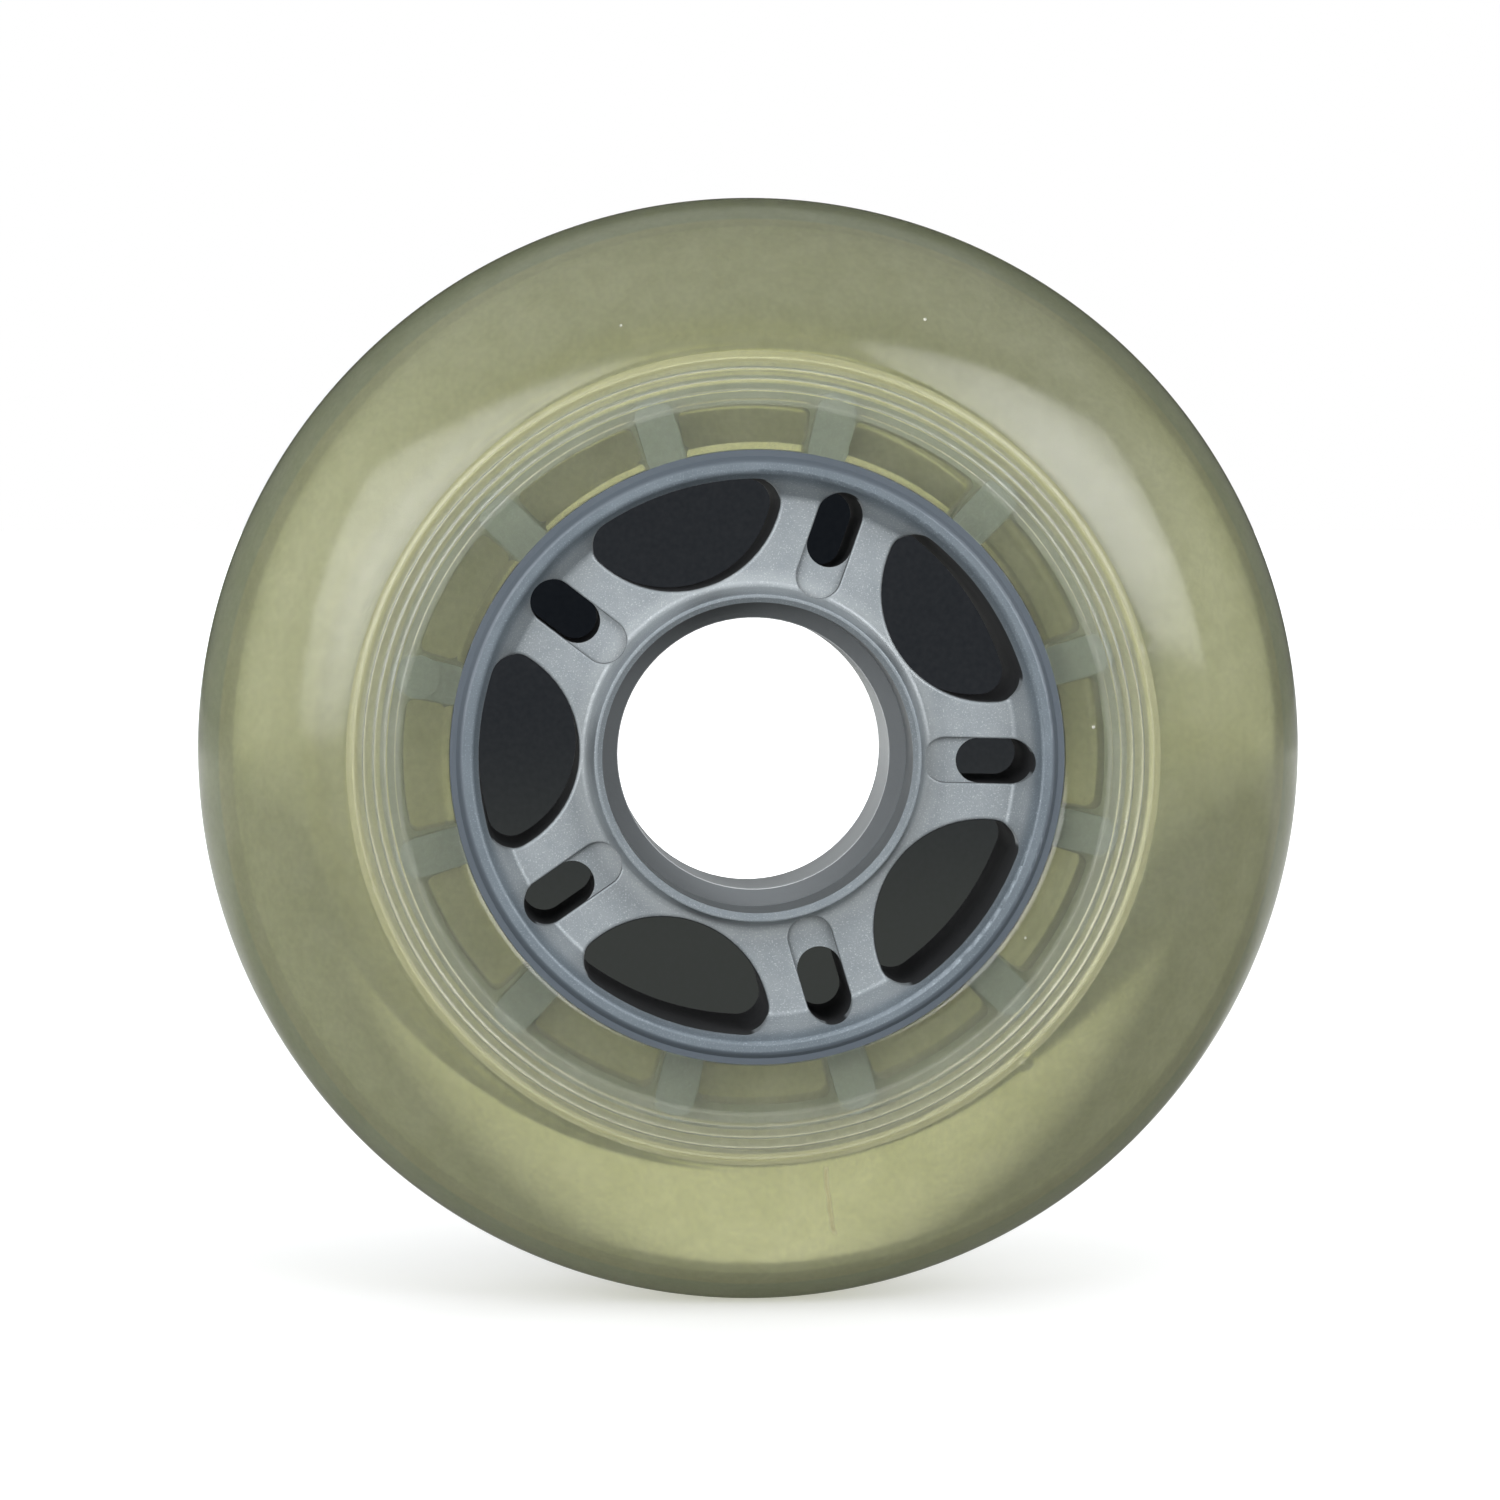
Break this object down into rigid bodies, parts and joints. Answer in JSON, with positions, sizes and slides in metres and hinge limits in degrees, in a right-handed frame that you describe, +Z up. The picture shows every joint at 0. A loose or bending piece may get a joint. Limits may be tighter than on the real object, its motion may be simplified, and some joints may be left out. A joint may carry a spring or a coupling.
{
  "type": "chair caster wheel",
  "caption": "Bare caster wheel: clear polyurethane tyre with a rounded tread, cast on a silver spoked nylon core with open bearing seats.",
  "frame": {"origin": "centre of the wheel, on the axle line and halfway between the two bearing mouths", "axes": "+Y along the axle towards the back, so the front face looks along -Y; +Z up; +X to the right seen from the front"},
  "size_m": [0.08, 0.024, 0.08],
  "materials": {
    "silver_core": "silver-grey metallic moulded nylon, satin",
    "clear_polyurethane": "translucent yellow-olive cast polyurethane, glossy tread and turned side lands"
  },
  "bodies": {
    "root": {"core": "silver_core", "tyre": "clear_polyurethane"}
  },
  "joints": []
}
